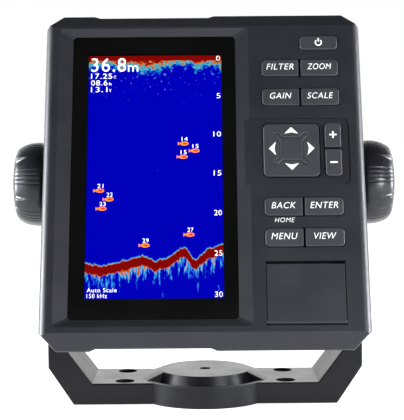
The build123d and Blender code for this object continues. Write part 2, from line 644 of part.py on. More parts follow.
# ---------------------------------------------------------------- assembly
def head_pieces():
    """Every piece of the head, drawn in the head frame."""
    pieces = {
        "front_housing": front_housing(),
        "rear_housing": rear_housing(),
        "housing_seal": housing_seal(),
        "housing_screws": [screw(u, v, 8.0, SEAT) for u, v, _ in POSTS],
        "display_window": display_window(),
        "window_gasket": window_gasket(),
        "lcd_panel": lcd_panel(),
        "backlight": backlight(),
        "display_carrier": display_carrier(),
        "keypad_mat": keypad_mat(),
        "keypad_board": keypad_board(),
        "key_switches": key_switches(),
        "direction_pad": direction_pad(),
        "direction_pivot": direction_pivot(),
        "card_door": card_door(),
        "door_seal": door_seal(),
        "door_hinge_pin": hinge_rod(HINGE_PIN_R, DOOR_POCKET[1] - DOOR_POCKET[0] + 3),
        "card_socket": card_socket(),
        "main_board": main_board(),
        "board_screws": [screw(u, v, MAIN_BOARD_FRONT - 6, MAIN_BOARD_FRONT + BOARD_T) for u, v in STANDOFFS],
        "transformer": transformer(),
        "capacitors": capacitors(),
        "shield_can": shield_can(),
        "beeper": beeper(),
        "vent_plug": vent_plug(),
        "rear_plate": rear_plate(),
        "socket_contacts": socket_contacts(),
        "socket_nuts": socket_nuts(),
        "socket_seals": socket_seals(),
    }
    for name, (u, v, count) in SOCKETS.items():
        pieces[f"{name}_socket"] = socket_shell(u, v)
        pieces[f"{name}_socket_core"] = socket_core(u, v, count)
    pieces.update(key_caps())
    sides = {"pivot_insert": pivot_insert(), "friction_pad": friction_pad(), "washer": washer(),
             "stud": stud(), "knob": knob()}
    for name, right in sides.items():
        pieces[f"{name}_right"] = right
        pieces[f"{name}_left"] = mirrored(right)
    return pieces


def export(name, solids, place=Pos(0, 0, 0)):
    if isinstance(solids, list):
        shape = Compound(children=[place * solid for solid in solids])
    else:
        shape = place * solids
    export_step(shape, f"parts/{name}.step")


os.makedirs("parts", exist_ok=True)
export("bail_bracket", bail_bracket())
for piece, shapes in head_pieces().items():
    export(piece, shapes, HEAD)
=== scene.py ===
"""Looks of the fish finder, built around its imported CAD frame. Everything is in metres."""

import math

import bpy
import numpy as np
from mathutils import Matrix, Vector


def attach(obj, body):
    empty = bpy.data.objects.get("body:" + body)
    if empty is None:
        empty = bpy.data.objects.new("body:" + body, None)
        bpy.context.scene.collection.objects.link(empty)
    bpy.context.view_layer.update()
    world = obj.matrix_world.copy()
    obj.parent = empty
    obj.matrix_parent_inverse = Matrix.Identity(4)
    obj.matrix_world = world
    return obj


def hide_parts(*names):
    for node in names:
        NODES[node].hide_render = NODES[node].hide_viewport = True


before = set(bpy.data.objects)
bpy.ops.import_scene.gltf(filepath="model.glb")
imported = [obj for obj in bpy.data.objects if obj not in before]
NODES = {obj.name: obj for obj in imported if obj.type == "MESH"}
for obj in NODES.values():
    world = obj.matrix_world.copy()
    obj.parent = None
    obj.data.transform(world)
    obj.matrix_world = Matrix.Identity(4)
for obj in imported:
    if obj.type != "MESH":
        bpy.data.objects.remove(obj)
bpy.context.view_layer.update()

MM = 0.001

# The head leans back about the axis through the knobs. u is to the right, v up the face, w into it.
AXIS_Z = 104.1 * MM
LEAN = math.radians(21.6)
AXIS_DEPTH = 28.0
HEAD = Matrix.Translation((0, 0, AXIS_Z)) @ Matrix.Rotation(-LEAN, 4, "X")
TO_HEAD = HEAD.inverted()


def on_face(u, v, w=0.0):
    """Placement whose x is along u, y along v, and z out of the face."""
    place = Matrix.Translation((u * MM, (w - AXIS_DEPTH) * MM, v * MM))
    return HEAD @ place @ Matrix.Rotation(math.radians(90), 4, "X")


FRONT_DEPTH = 0.6


def front_box(node):
    """(left, right, low, high) in mm of the part of a CAD node that lies in front of FRONT_DEPTH."""
    points = [TO_HEAD @ v.co for v in NODES[node].data.vertices]
    points = [(p.x / MM, p.z / MM) for p in points if p.y / MM + AXIS_DEPTH < FRONT_DEPTH]
    us, vs = zip(*points)
    return min(us), max(us), min(vs), max(vs)


def srgb(level):
    """Linear value of an sRGB level of 0 to 255."""
    level /= 255
    return level / 12.92 if level <= 0.04045 else ((level + 0.055) / 1.055) ** 2.4


# ---------------------------------------------------------------- shader graphs
class Graph:
    """Small helper that adds nodes to a tree and wires them."""

    def __init__(self, tree):
        self.tree = tree
        tree.nodes.clear()

    def add(self, kind, **settings):
        node = self.tree.nodes.new(kind)
        for key, value in settings.items():
            setattr(node, key, value)
        return node

    def put(self, socket, value):
        if isinstance(value, bpy.types.NodeSocket):
            self.tree.links.new(value, socket)
        elif value is not None:
            socket.default_value = value

    def math(self, operation, a, b=None):
        node = self.add("ShaderNodeMath", operation=operation)
        for socket, value in zip(node.inputs, (a, b)):
            self.put(socket, value)
        return node.outputs[0]

    def noise(self, vector, scale, detail=2.0, roughness=0.5):
        node = self.add("ShaderNodeTexNoise")
        self.put(node.inputs["Vector"], vector)
        node.inputs["Scale"].default_value = scale
        node.inputs["Detail"].default_value = detail
        node.inputs["Roughness"].default_value = roughness
        return node.outputs["Fac"]

    def span(self, value, low, high, to_low, to_high, smooth=False):
        """The value moved from one range to another, and clamped to it."""
        node = self.add("ShaderNodeMapRange")
        if smooth:
            node.interpolation_type = "SMOOTHSTEP"
        self.put(node.inputs["Value"], value)
        for name, number in zip(("From Min", "From Max", "To Min", "To Max"), (low, high, to_low, to_high)):
            self.put(node.inputs[name], number)
        return node.outputs["Result"]

    def mix(self, factor, a, b):
        node = self.add("ShaderNodeMix", data_type="RGBA")
        self.put(node.inputs[0], factor)
        self.put(node.inputs[6], a)
        self.put(node.inputs[7], b)
        return node.outputs[2]

    def ramp(self, factor, stops):
        """Colours blended in a line between (place, colour) stops."""
        node = self.add("ShaderNodeValToRGB")
        elements = node.color_ramp.elements
        while len(elements) < len(stops):
            elements.new(1.0)
        for element, (place, colour) in zip(elements, stops):
            element.position = place
            element.color = (*colour, 1.0)
        self.put(node.inputs[0], factor)
        return node.outputs[0]

    def object_coords(self):
        return self.add("ShaderNodeTexCoord").outputs["Object"]

    def stretched(self, vector, scale):
        node = self.add("ShaderNodeMapping")
        self.put(node.inputs["Vector"], vector)
        node.inputs["Scale"].default_value = scale
        return node.outputs["Vector"]

    def edges(self, radius):
        """1 along sharp outer and inner edges, 0 on flat faces."""
        bevel = self.add("ShaderNodeBevel", samples=4)
        bevel.inputs["Radius"].default_value = radius
        normal = self.add("ShaderNodeNewGeometry").outputs["Normal"]
        dot = self.add("ShaderNodeVectorMath", operation="DOT_PRODUCT")
        self.put(dot.inputs[0], bevel.outputs[0])
        self.put(dot.inputs[1], normal)
        turned = self.math("SUBTRACT", 1.0, dot.outputs["Value"])
        return self.span(turned, 0.004, 0.12, 0.0, 1.0)

    def bump(self, height, strength, distance):
        node = self.add("ShaderNodeBump")
        node.inputs["Strength"].default_value = strength
        node.inputs["Distance"].default_value = distance
        self.put(node.inputs["Height"], height)
        return node.outputs["Normal"]

    def principled(self, **inputs):
        shader = self.add("ShaderNodeBsdfPrincipled")
        for name, value in inputs.items():
            self.put(shader.inputs[name.replace("_", " ")], value)
        output = self.add("ShaderNodeOutputMaterial")
        self.tree.links.new(shader.outputs[0], output.inputs[0])
        return shader


def material(name):
    made = bpy.data.materials.new(name)
    made.use_nodes = True
    return made, Graph(made.node_tree)


def grey(level, blue=0.15):
    """Linear grey with its blue channel raised by a share."""
    return (level, level, level * (1 + blue), 1.0)


def scaled(colour, factor):
    return tuple(channel * factor for channel in colour[:3])


MOTTLE_SPREAD = 0.18
WORN_AND_HIGHLIT_EDGE = 0.6 * MM


def moulded(name, colour, rough, grain=2400.0, depth=0.000012, edge_wear_and_highlight=1.7, specular=0.5):
    """Moulded plastic or rubber: fine grain, faint mottling, and edges drawn lighter, partly as wear from handling and
    partly as a painted highlight.
    """
    made, g = material(name)
    place = g.object_coords()
    mottle = g.noise(place, 60.0, detail=4.0, roughness=0.6)
    fine = g.noise(place, grain, detail=3.0, roughness=0.7)
    base = g.ramp(mottle, [(0.25, scaled(colour, 1 - MOTTLE_SPREAD)), (0.75, scaled(colour, 1 + MOTTLE_SPREAD))])
    specks = g.ramp(fine, [(0.3, scaled(colour, 0.75)), (0.7, scaled(colour, 1.3))])
    base = g.mix(0.4, base, specks)
    # Edges drawn lighter: partly wear from handling, partly a painted highlight.
    worn_and_highlit = g.math("MULTIPLY", g.edges(WORN_AND_HIGHLIT_EDGE), g.span(g.noise(place, 220.0, detail=3.0), 0.35, 0.65, 0.35, 1.0))
    base = g.mix(worn_and_highlit, base, (*scaled(colour, edge_wear_and_highlight), 1.0))
    roughness = g.math("ADD", g.span(mottle, 0.3, 0.7, rough - 0.04, rough + 0.04),
                       g.span(fine, 0.3, 0.7, -0.05, 0.05))
    g.principled(Base_Color=base, Roughness=roughness, Specular_IOR_Level=specular, Normal=g.bump(fine, 0.6, depth))
    return made


def metal(name, colour, rough, brushed=(1.0, 1.0, 1.0)):
    """Plated or drawn metal with fine lines and slightly dull patches."""
    made, g = material(name)
    place = g.object_coords()
    lines = g.noise(g.stretched(place, brushed), 1500.0, detail=3.0)
    patches = g.noise(place, 150.0, detail=4.0)
    base = g.ramp(patches, [(0.3, scaled(colour, 0.78)), (0.7, scaled(colour, 1.08))])
    # Edges are drawn lighter: a painted highlight along them.
    base = g.mix(g.math("MULTIPLY", g.edges(0.0003), 0.5), base, (*scaled(colour, 1.35), 1.0))
    roughness = g.math("ADD", g.span(patches, 0.3, 0.7, rough + 0.08, rough - 0.04),
                       g.span(lines, 0.3, 0.7, -0.05, 0.05))
    g.principled(Base_Color=base, Roughness=roughness, Metallic=1.0, Normal=g.bump(lines, 0.4, 0.000006))
    return made


def circuit_board(name):
    """Green solder mask over faint copper runs."""
    made, g = material(name)
    place = g.object_coords()
    cells = g.add("ShaderNodeTexVoronoi", feature="DISTANCE_TO_EDGE", distance="CHEBYCHEV")
    g.put(cells.inputs["Vector"], place)
    cells.inputs["Scale"].default_value = 160.0
    runs = g.span(cells.outputs["Distance"], 0.02, 0.06, 1.0, 0.0)
    base = g.mix(runs, (0.006, 0.06, 0.022, 1.0), (0.02, 0.13, 0.045, 1.0))
    fine = g.noise(place, 900.0, detail=3.0)
    g.principled(Base_Color=base, Roughness=g.span(fine, 0.3, 0.7, 0.28, 0.45), Normal=g.bump(runs, 0.3, 0.00003))
    return made


def glowing(name, colour, strength):
    """Evenly lit white sheet behind the picture."""
    made, g = material(name)
    fine = g.noise(g.object_coords(), 400.0, detail=2.0)
    base = g.ramp(fine, [(0.3, scaled(colour, 0.92)), (0.7, scaled(colour, 1.0))])
    g.principled(Base_Color=base, Roughness=0.5, Emission_Color=base, Emission_Strength=strength)
    return made


def printed(name, level, glow=0.0):
    """Pad-printed ink with a slight texture."""
    made, g = material(name)
    fine = g.noise(g.object_coords(), 3000.0, detail=2.0)
    base = g.ramp(fine, [(0.25, (level * 0.9,) * 3), (0.75, (level,) * 3)])
    g.principled(Base_Color=base, Roughness=g.span(fine, 0.3, 0.7, 0.42, 0.55), Emission_Color=base,
                 Emission_Strength=glow, Normal=g.bump(fine, 0.2, 0.000004))
    return made


# ---------------------------------------------------------------- the lit picture and its window
PICTURE = (-54.6, 8.7, -63.7, 56.5)
PICTURE_W = PICTURE[1] - PICTURE[0]
PICTURE_H = PICTURE[3] - PICTURE[2]
LCD_FRONT = 4.0
PICTURE_DEPTH = LCD_FRONT - 0.05
MARKS_DEPTH = PICTURE_DEPTH - 0.05

BLUE = (0.0, 0.0, srgb(196))
CYAN = (srgb(40), srgb(200), srgb(235))
ORANGE = (srgb(245), srgb(120), srgb(20))
RED = (srgb(200), srgb(25), srgb(15))
DARK_RED = (srgb(140), srgb(6), srgb(4))
OLIVE = (srgb(150), srgb(150), srgb(95))
PALE_BLUE = (srgb(50), srgb(110), srgb(250))
SEA_BED = ((0.0, 0.145), (0.1, 0.13), (0.25, 0.145), (0.42, 0.165), (0.52, 0.15), (0.63, 0.17), (0.72, 0.2),
           (0.79, 0.155), (0.87, 0.185), (1.0, 0.215))
BED_THICKNESS = 0.036


def sonar_picture():
    """Echo picture: surface clutter, open water, and the sea bed with weaker echoes under it."""
    made, g = material("sonar_picture")
    place = g.object_coords()
    split = g.add("ShaderNodeSeparateXYZ")
    g.put(split.inputs[0], place)
    across = g.math("DIVIDE", split.outputs["X"], PICTURE_W * MM)
    up = g.math("DIVIDE", split.outputs["Y"], PICTURE_H * MM)
    down = g.math("SUBTRACT", 1.0, up)

    jagged = g.noise(g.stretched(place, (1.0, 0.0, 0.0)), 330.0, detail=4.0, roughness=0.7)
    streaks = g.noise(g.stretched(place, (1.0, 0.22, 1.0)), 520.0, detail=3.0, roughness=0.7)
    blotches = g.noise(place, 480.0, detail=3.0, roughness=0.75)
    wobble = g.noise(g.stretched(place, (1.0, 0.0, 0.0)), 55.0, detail=3.0, roughness=0.6)

    reach = g.span(wobble, 0.35, 0.68, 0.03, 0.11)
    depth = g.math("DIVIDE", down, reach)
    depth = g.math("ADD", depth, g.math("MULTIPLY", g.math("SUBTRACT", blotches, 0.5), 1.7))
    clutter = g.ramp(depth, [(0.26, DARK_RED), (0.36, RED), (0.42, ORANGE), (0.5, OLIVE), (0.62, CYAN), (0.8, BLUE)])
    surface = g.math("LESS_THAN", down, 0.0205)
    picture = g.mix(surface, clutter, (*DARK_RED, 1.0))

    specks = g.noise(place, 620.0, detail=1.0)
    fade = g.span(down, 0.06, 0.26, 0.65, 0.8)
    lit = g.math("GREATER_THAN", specks, fade)
    lit = g.math("MULTIPLY", lit, g.span(up, 0.25, 0.45, 0.0, 0.8))
    lit = g.math("MULTIPLY", lit, g.math("GREATER_THAN", depth, 0.85))
    picture = g.mix(lit, picture, (srgb(90), srgb(120), srgb(250), 1.0))

    bed = g.add("ShaderNodeFloatCurve")
    curve = bed.mapping.curves[0]
    curve.points[0].location = SEA_BED[0]
    curve.points[1].location = SEA_BED[-1]
    for point in SEA_BED[1:-1]:
        curve.points.new(*point)
    bed.mapping.update()
    g.put(bed.inputs["Value"], across)
    ripple = g.math("MULTIPLY", g.math("SUBTRACT", jagged, 0.5), 0.05)
    ragged = g.math("MULTIPLY", g.math("SUBTRACT", blotches, 0.5), 0.016)
    above = g.math("SUBTRACT", g.math("SUBTRACT", up, bed.outputs[0]), g.math("ADD", ripple, ragged))
    band = g.ramp(g.span(above, -BED_THICKNESS, 0.01, 0.0, 1.0),
                  [(0.0, ORANGE), (0.06, DARK_RED), (0.78, DARK_RED), (0.81, ORANGE), (0.86, CYAN), (0.95, BLUE)])
    under = g.math("LESS_THAN", above, 0.01)
    echoes = g.math("ADD", streaks, g.span(above, -0.12, -BED_THICKNESS, -0.12, 0.1))
    weak = g.ramp(echoes, [(0.53, BLUE), (0.57, PALE_BLUE), (0.62, CYAN), (0.69, ORANGE), (0.73, RED)])
    solid_bed = g.math("GREATER_THAN", above, -BED_THICKNESS)
    bottom = g.mix(solid_bed, weak, band)
    picture = g.mix(under, picture, bottom)
    shader = g.principled(Roughness=0.3, Specular_IOR_Level=0.0, Emission_Color=picture, Emission_Strength=1.0)
    shader.inputs["Base Color"].default_value = (0.0, 0.0, 0.0, 1.0)
    return made


def window_glass():
    """Glossy pane: black behind its border, clear over the lit picture."""
    made, g = material("window_glass_border")
    place = g.object_coords()
    split = g.add("ShaderNodeSeparateXYZ")
    g.put(split.inputs[0], place)
    along_v = g.add("ShaderNodeVectorMath", operation="DOT_PRODUCT")
    g.put(along_v.inputs[0], place)
    along_v.inputs[1].default_value = (0.0, math.sin(LEAN), math.cos(LEAN))
    u = split.outputs["X"]
    v = g.math("SUBTRACT", along_v.outputs["Value"], AXIS_Z * math.cos(LEAN))
    left, right, low, high = (side * MM for side in PICTURE)
    off_u = g.math("ABSOLUTE", g.math("SUBTRACT", u, (left + right) / 2))
    off_v = g.math("ABSOLUTE", g.math("SUBTRACT", v, (low + high) / 2))
    border = g.math("MAXIMUM", g.math("GREATER_THAN", off_u, (right - left) / 2),
                    g.math("GREATER_THAN", off_v, (high - low) / 2))
    smudge = g.noise(place, 45.0, detail=3.0)
    alpha = g.span(border, 0.0, 1.0, 0.05, 1.0)
    base = g.ramp(smudge, [(0.3, (0.0018,) * 3), (0.7, (0.003,) * 3)])
    g.principled(Base_Color=base, Roughness=g.span(smudge, 0.3, 0.7, 0.05, 0.09), Alpha=alpha)
    return made


# ---------------------------------------------------------------- mesh helpers
def mesh_piece(name, vertices, faces, look, body, place=None, smooth=False):
    """New piece that rides on a body of the frame, with one material."""
    mesh = bpy.data.meshes.new(name)
    mesh.from_pydata([tuple(v) for v in vertices], [], faces)
    mesh.validate()
    if smooth:
        mesh.shade_smooth()
    mesh.materials.append(look)
    made = bpy.data.objects.new(name, mesh)
    bpy.context.scene.collection.objects.link(made)
    if place is not None:
        made.matrix_world = place
    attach(made, body)
    return made


def letters(text, width, height, bold=0.02, slant=0.0):
    """Outline of a text as flat triangles, scaled to a width and height in mm and centred on the origin."""
    curve = bpy.data.curves.new("lettering", "FONT")
    curve.body = text
    curve.size = 1.0
    curve.offset = bold
    curve.shear = slant
    curve.space_character = 1.1
    curve.resolution_u = 4
    holder = bpy.data.objects.new("lettering", curve)
    bpy.context.scene.collection.objects.link(holder)
    bpy.context.view_layer.update()
    mesh = bpy.data.meshes.new_from_object(holder.evaluated_get(bpy.context.evaluated_depsgraph_get()))
    points = np.array([v.co[:2] for v in mesh.vertices])
    faces = [tuple(p.vertices) for p in mesh.polygons]
    bpy.data.objects.remove(holder)
    low, high = points.min(0), points.max(0)
    points = (points - (low + high) / 2) / (high - low) * (width * MM, height * MM)
    return points, faces


ELLIPSE_SIDES = 20


class Print:
    """Gathers flat shapes in one plane into a single piece. Places and sizes are in mm."""

    def __init__(self):
        self.points, self.faces = [], []

    def shape(self, points, faces, x=0.0, y=0.0, lift=0.0):
        start = len(self.points)
        self.points += [(px + x * MM, py + y * MM, lift * MM) for px, py in points]
        self.faces += [tuple(start + i for i in face) for face in faces]

    def text(self, text, x, y, width, height, align="CENTRE", **style):
        points, faces = letters(text, width, height, **style)
        shift = {"CENTRE": 0.0, "LEFT": width / 2, "RIGHT": -width / 2}[align]
        self.shape(points, faces, x + shift, y)

    def polygon(self, outline, x=0.0, y=0.0, lift=0.0):
        self.shape([(px * MM, py * MM) for px, py in outline], [tuple(range(len(outline)))], x, y, lift)

    def bar(self, x, y, width, height):
        a, b = width / 2, height / 2
        self.polygon([(-a, -b), (a, -b), (a, b), (-a, b)], x, y)

    def ellipse(self, x, y, width, height, lift=0.0):
        turns = [2 * math.pi * i / ELLIPSE_SIDES for i in range(ELLIPSE_SIDES)]
        self.polygon([(width / 2 * math.cos(t), height / 2 * math.sin(t)) for t in turns], x, y, lift)

    def piece(self, name, look, body, slot, place):
        return mesh_piece(name, self.points, self.faces, look, body, place)


# ---------------------------------------------------------------- materials on the CAD nodes
COARSE_GRAIN, COARSE_DEPTH = 1500.0, 0.03 * MM
LOOKS = {
    "bracket_plastic": moulded("bracket_moulding", grey(0.006, 0.3), 0.34, grain=COARSE_GRAIN, depth=COARSE_DEPTH,
                               specular=0.25),
    "housing_plastic": moulded("housing_moulding", grey(0.013, 0.35), 0.42, grain=COARSE_GRAIN, depth=COARSE_DEPTH),
    "key_plastic": moulded("key_moulding", grey(0.03, 0.2), 0.5, grain=3200.0, edge_wear_and_highlight=1.1),
    "knob_plastic": moulded("knob_moulding", grey(0.010, 0.3), 0.3, edge_wear_and_highlight=1.5),
    "socket_plastic": moulded("socket_moulding", grey(0.020), 0.4),
    "component_black": moulded("component_moulding", grey(0.012), 0.48),
    "rubber": moulded("soft_rubber", grey(0.014), 0.78, depth=0.00002, edge_wear_and_highlight=1.2, specular=0.3),
    "sheet_steel": metal("tinned_sheet", (0.55, 0.55, 0.53), 0.34, brushed=(0.1, 1.0, 1.0)),
    "screw_steel": metal("screw_steel_plated", (0.5, 0.5, 0.5), 0.26),
    "brass": metal("brass_turned", (0.66, 0.48, 0.2), 0.28),
    "plate_grey": moulded("label_plate", grey(0.11), 0.36, grain=1600.0, edge_wear_and_highlight=1.3),
    "board": circuit_board("board_mask"),
    "backlight_white": glowing("backlight_sheet", (0.85, 0.87, 0.9), 0.2),
    "display": moulded("display_frame", grey(0.006), 0.4),
    "window_glass": window_glass(),
}
DOOR_LOOK = moulded("door_moulding", grey(0.021, 0.3), 0.4)
for name, node in NODES.items():
    look = DOOR_LOOK if name == "card_door" else LOOKS[node.data.materials[0].name]
    node.data.materials.clear()
    node.data.materials.append(look)

# The legend ink is given a faint glow of its own: painted light that makes it read brighter.
WHITE_INK = printed("legend_ink", 0.86, glow=0.35)
SCREEN_WHITE = printed("screen_white", 0.95, glow=1.0)
SCREEN_RED = glowing("screen_red", RED, 1.0)
SCREEN_ORANGE = glowing("screen_orange", ORANGE, 1.0)

# ---------------------------------------------------------------- screen
corner = on_face(PICTURE[0], PICTURE[2], PICTURE_DEPTH)
W, H = PICTURE_W * MM, PICTURE_H * MM
mesh_piece("sonar_screen", [(0, 0, 0), (W, 0, 0), (W, H, 0), (0, H, 0)], [(0, 1, 2, 3)], sonar_picture(), "head",
           corner)

# Marks on the picture are placed in mm from its lower left corner, and most of them hang from its top.
marks_corner = on_face(PICTURE[0], PICTURE[2], MARKS_DEPTH)
readout = Print()
TOP = PICTURE_H
READOUT_STEP, SCALE_STEP = 3.45, 19.4
readout.text("36.8", 1.2, TOP - 4.6, 16.6, 7.0, "LEFT", bold=0.0)
readout.text("m", 18.7, TOP - 6.5, 4.9, 3.2, "LEFT", bold=0.0)
for row, (value, width, unit) in enumerate((("17.25", 10.0, "C"), ("08.6", 7.8, "h"), ("13.1", 7.8, "V"))):
    height = TOP - 10.4 - READOUT_STEP * row
    readout.text(value, 1.2, height, width, 2.7, "LEFT", bold=0.0)
    readout.text(unit, 2.0 + width, height - 0.5, 1.1, 1.5, "LEFT", bold=0.0)
for step in range(7):
    height = TOP - 1.5 - SCALE_STEP * step
    readout.text(str(5 * step), PICTURE_W - 0.5, height, 1.9 if step < 2 else 3.6, 2.6, "RIGHT", bold=0.0)
for row, (note, width) in enumerate((("Auto Scale", 13.6), ("150 kHz", 9.2))):
    readout.text(note, 1.0, 4.6 - 2.7 * row, width, 2.0, "LEFT", bold=0.0)
# Each fish is (across, below the top, label shown above it).
FISH = ((45.5, 45.0, "14"), (50.6, 48.6, "15"), (45.0, 51.6, "15"), (6.2, 68.0, "21"), (10.6, 72.3, "22"),
        (7.4, 76.8, "23"), (48.0, 89.6, "27"), (27.4, 94.6, "29"))
halo, core = Print(), Print()
for x, below, label in FISH:
    y = TOP - below
    halo.ellipse(x, y, 4.2, 2.0)
    halo.polygon([(-1.9, 0.0), (-3.0, 0.9), (-3.0, -0.9)], x, y)
    core.ellipse(x + 0.4, y, 2.0, 0.9, lift=0.02)
    readout.text(label, x + 0.2, y + 2.3, 2.8, 2.0, bold=0.0)
readout.piece("screen_readouts", SCREEN_WHITE, "head", "display", marks_corner)
halo.piece("fish_echoes", SCREEN_ORANGE, "head", "display", marks_corner)
core.piece("fish_echo_cores", SCREEN_RED, "head", "display", marks_corner)

# ---------------------------------------------------------------- key legends
INK_LIFT = 0.02
SLANT = 0.22
LEGENDS = {"filter": ("FILTER", 12.3), "zoom": ("ZOOM", 10.8), "gain": ("GAIN", 9.6), "scale": ("SCALE", 11.6),
           "back": ("BACK", 10.6), "enter": ("ENTER", 12.2), "menu": ("MENU", 11.4), "view": ("VIEW", 9.6)}
LEGEND_STRETCH, LEGEND_HEIGHT = 1.05, 3.0
KEY_TOP = -0.9
RING_OUTER, RING_INNER = 1.75, 1.15
SIGN_LENGTH, SIGN_THICK = 3.4, 0.75
for key, (word, width) in LEGENDS.items():
    left, right, low, high = front_box("key_" + key)
    legend = Print()
    legend.text(word, 0, 0, width * LEGEND_STRETCH, LEGEND_HEIGHT, bold=-0.004, slant=SLANT)
    legend.piece("legend_" + key, WHITE_INK, "key_" + key, "key_plastic",
                 on_face((left + right) / 2, (low + high) / 2 + 0.5, KEY_TOP - INK_LIFT))

left, right, low, high = front_box("key_power")
power = Print()
ring = [(math.cos(math.radians(a)), math.sin(math.radians(a))) for a in range(125, 416, 10)]
power.polygon([(RING_OUTER * x, RING_OUTER * y) for x, y in ring]
              + [(RING_INNER * x, RING_INNER * y) for x, y in reversed(ring)])
power.bar(0, 1.35, 0.6, 1.9)
power.piece("legend_power", WHITE_INK, "key_power", "key_plastic",
            on_face((left + right) / 2, (low + high) / 2, KEY_TOP - INK_LIFT))
for key in ("plus", "minus"):
    left, right, low, high = front_box("key_" + key)
    sign = Print()
    sign.bar(0, 0, SIGN_LENGTH, SIGN_THICK)
    if key == "plus":
        sign.bar(0, 1.04, SIGN_THICK, 1.33)
        sign.bar(0, -1.04, SIGN_THICK, 1.33)
    sign.piece("legend_" + key, WHITE_INK, "key_" + key, "key_plastic",
               on_face((left + right) / 2, (low + high) / 2, KEY_TOP - INK_LIFT))
home = Print()
home.text("HOME", 0, 0, 9.2, 2.2, bold=-0.008, slant=SLANT)
home.piece("legend_home", WHITE_INK, "head", "housing_plastic", on_face(36.9, -27.6, -INK_LIFT))

# ---------------------------------------------------------------- painted shadow line round the sunken panel
PANEL = (17.5, 68.1, -10.5, 22.3)
PANEL_DEPTH, PANEL_ROUND, SHADOW_LINE_W = 0.8, 3.0, 0.75


def painted_panel_shadow():
    """Black strip painted as the shadow in the upper and right-hand edges of the sunken panel."""
    left, right, low, high = PANEL
    outer, inner = [], []
    for turn in range(91, -91, -10):
        across, up = math.cos(math.radians(turn)), math.sin(math.radians(turn))
        middle = high - PANEL_ROUND if turn > 0 else low + PANEL_ROUND
        for path, radius in ((outer, PANEL_ROUND - 0.02), (inner, PANEL_ROUND - SHADOW_LINE_W)):
            path.append((right - PANEL_ROUND + radius * across, middle + radius * up))
    outer.insert(0, (left + PANEL_ROUND, outer[0][1]))
    inner.insert(0, (left + PANEL_ROUND, inner[0][1]))
    shadow_line = Print()
    for k in range(len(outer) - 1):
        shadow_line.polygon([outer[k], inner[k], inner[k + 1], outer[k + 1]])
    # The strip borrows the black rubber look; it stands for shade, not for a part.
    shadow_line.piece("painted_panel_shadow", LOOKS["rubber"], "head", "rubber", on_face(0, 0, PANEL_DEPTH - INK_LIFT))


painted_panel_shadow()

# ---------------------------------------------------------------- direction pad
PAD_U, PAD_V = 40.95, 6.55
PAD_HALF, PAD_ROUND, PAD_TOP, PAD_SOFT = 13.15, 2.6, 0.3, 0.7
PAD_BACK = -1.5
PAD_CELLS = 120
SQUARE_HALF = 5.6
PAD_GROOVE_DEPTH, PAD_GROOVE_HALF = 0.5, 0.38
LOBE_R, LOBE_REACH = 1.15, 1.0
MARKS_UP = 0.6


def pad_groove(x, y):
    """Distance from the outline of the centre square joined with its four corner lobes."""
    x, y = abs(x), abs(y - MARKS_UP)
    dx, dy = x - SQUARE_HALF, y - SQUARE_HALF
    square = math.hypot(max(dx, 0), max(dy, 0)) + min(max(dx, dy), 0)
    end = SQUARE_HALF + LOBE_REACH
    along = min(max((x + y) / 2, 0), end)
    lobe = math.hypot(x - along, y - along) - LOBE_R
    return abs(min(square, lobe))


def pad_height(x, y):
    """How far the face of the pad stands out of the housing, in mm."""
    inner = PAD_HALF - PAD_ROUND
    dx, dy = abs(x) - inner, abs(y) - inner
    inside = PAD_ROUND - (math.hypot(max(dx, 0), max(dy, 0)) + min(max(dx, dy), 0))
    drop = PAD_SOFT - math.sqrt(max(PAD_SOFT ** 2 - max(PAD_SOFT - inside, 0) ** 2, 0))
    groove = PAD_GROOVE_DEPTH * max(0.0, 1 - (pad_groove(x, y) / PAD_GROOVE_HALF) ** 2)
    return PAD_TOP - drop - groove


def rounded_square_point(a, b):
    """Point of a rounded square for a and b from -1 to 1."""
    x, y = a * PAD_HALF, b * PAD_HALF
    inner = PAD_HALF - PAD_ROUND
    s, t = (abs(x) - inner) / PAD_ROUND, (abs(y) - inner) / PAD_ROUND
    if s > 0 and t > 0:
        shrink = max(s, t) / math.hypot(s, t)
        x = math.copysign(inner + s * shrink * PAD_ROUND, x)
        y = math.copysign(inner + t * shrink * PAD_ROUND, y)
    return x, y


def direction_pad():
    """Closed square cap with soft edges and a lobed groove, in place of the plain CAD one."""
    points, faces = [], []
    for j in range(PAD_CELLS + 1):
        for i in range(PAD_CELLS + 1):
            x, y = rounded_square_point(2 * i / PAD_CELLS - 1, 2 * j / PAD_CELLS - 1)
            points.append((x * MM, y * MM, pad_height(x, y) * MM))
    side = PAD_CELLS + 1
    for j in range(PAD_CELLS):
        for i in range(PAD_CELLS):
            start = j * side + i
            faces.append((start, start + 1, start + side + 1, start + side))
    rim = list(range(side)) + [j * side + PAD_CELLS for j in range(1, side)]
    rim += [PAD_CELLS * side + i for i in range(PAD_CELLS - 1, -1, -1)]
    rim += [j * side for j in range(PAD_CELLS - 1, 0, -1)]
    back = len(points)
    points += [(points[i][0], points[i][1], PAD_BACK * MM) for i in rim]
    for k in range(len(rim)):
        after = (k + 1) % len(rim)
        faces.append((rim[after], rim[k], back + k, back + after))
    faces.append(tuple(range(back + len(rim) - 1, back - 1, -1)))
    made = mesh_piece("direction_pad_face", points, faces, LOOKS["key_plastic"], "direction_pad",
                      on_face(PAD_U, PAD_V), smooth=True)
    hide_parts("direction_pad")


